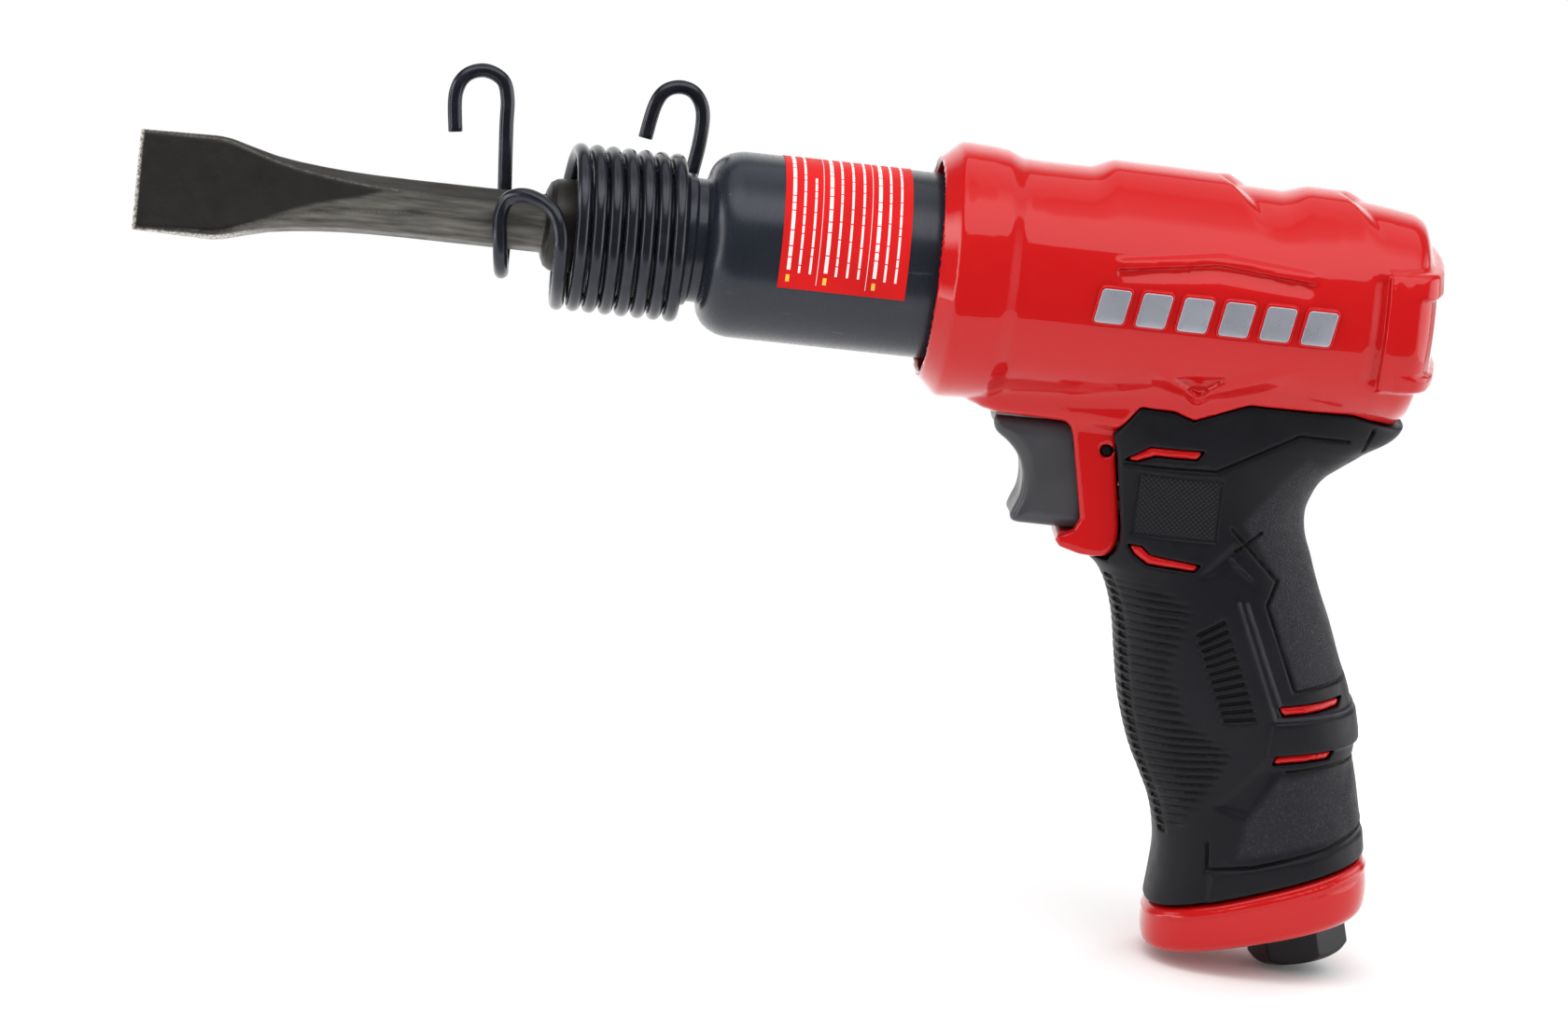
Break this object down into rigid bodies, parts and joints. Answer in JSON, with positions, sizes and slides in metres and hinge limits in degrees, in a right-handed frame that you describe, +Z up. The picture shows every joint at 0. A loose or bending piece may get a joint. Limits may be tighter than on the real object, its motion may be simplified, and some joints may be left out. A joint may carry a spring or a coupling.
{
  "type": "pneumatic air hammer",
  "caption": "Pistol-grip air hammer with a ribbed housing, black barrel, coil retainer holding a flat chisel, a trigger and a threaded air inlet.",
  "frame": {"origin": "centre of the housing's flat rear face, where the barrel axis leaves it", "axes": "+X out of the rear face along the barrel axis, so the chisel points along -X; +Z up, away from the handle; Y across the tool"},
  "size_m": [0.2839, 0.0544, 0.1756],
  "materials": {
    "housing_red": "glossy moulded red",
    "cap_red": "semi-gloss moulded red",
    "grip_rubber": "matt textured rubber",
    "barrel_black": "satin blue-black oxide on steel",
    "wire_black": "satin black oxide spring wire",
    "pin_black": "black oxide",
    "chisel_steel": "dark forged steel with worn edges",
    "trigger_gray": "satin dark grey",
    "label_red": "printed adhesive label with plain ruled lines",
    "badge_silver": "metallic silver print on raised bars",
    "inlet_black": "black oxide hexagon",
    "bright_steel": "ground steel",
    "valve_gray": "hardened steel",
    "brass": "turned brass",
    "seal_rubber": "matt nitrile"
  },
  "bodies": {
    "tool_body": {"housing": "housing_red", "grip_sleeve": "grip_rubber", "base_cap": "cap_red", "inlet_bushing": "inlet_black", "inlet_screen": "bright_steel", "inlet_o_ring": "seal_rubber", "barrel": "barrel_black", "barrel_label": "label_red", "barrel_seal": "seal_rubber", "trigger_pin": "pin_black", "throttle_bushing": "brass", "throttle_o_ring": "seal_rubber", "throttle_spring": "bright_steel", "valve_block": "valve_gray", "valve_cap": "valve_gray", "valve_dowel": "bright_steel", "rear_gasket": "seal_rubber", "badge_near": "badge_silver", "badge_far": "badge_silver"},
    "trigger_body": {"trigger": "trigger_gray", "throttle_stem": "bright_steel", "throttle_poppet": "seal_rubber"},
    "piston_body": {"piston": "bright_steel"},
    "disc_body": {"valve_disc": "bright_steel"},
    "retainer_body": {"retainer_spring": "wire_black"},
    "chisel_body": {"chisel": "chisel_steel"}
  },
  "joints": [
    {"name": "trigger_slide", "type": "slide", "parent": "tool_body", "child": "trigger_body", "axis": [1, 0, 0], "range_m": [0, 0.0055], "stiffness_N_per_m": 1500, "springref_m": -0.004, "deforming": ["throttle_spring"]},
    {"name": "piston_slide", "type": "slide", "parent": "tool_body", "child": "piston_body", "axis": [-1, 0, 0], "range_m": [0, 0.067]},
    {"name": "valve_disc_slide", "type": "slide", "parent": "tool_body", "child": "disc_body", "axis": [1, 0, 0], "range_m": [0, 0.0012]},
    {"name": "retainer_turn", "type": "hinge", "parent": "tool_body", "child": "retainer_body", "pos_m": [-0.176, 0, 0], "axis": [-1, 0, 0], "range_deg": [0, 2070]},
    {"name": "chisel_slide", "type": "slide", "parent": "retainer_body", "child": "chisel_body", "axis": [-1, 0, 0], "range_m": [0, 0.004]}
  ]
}
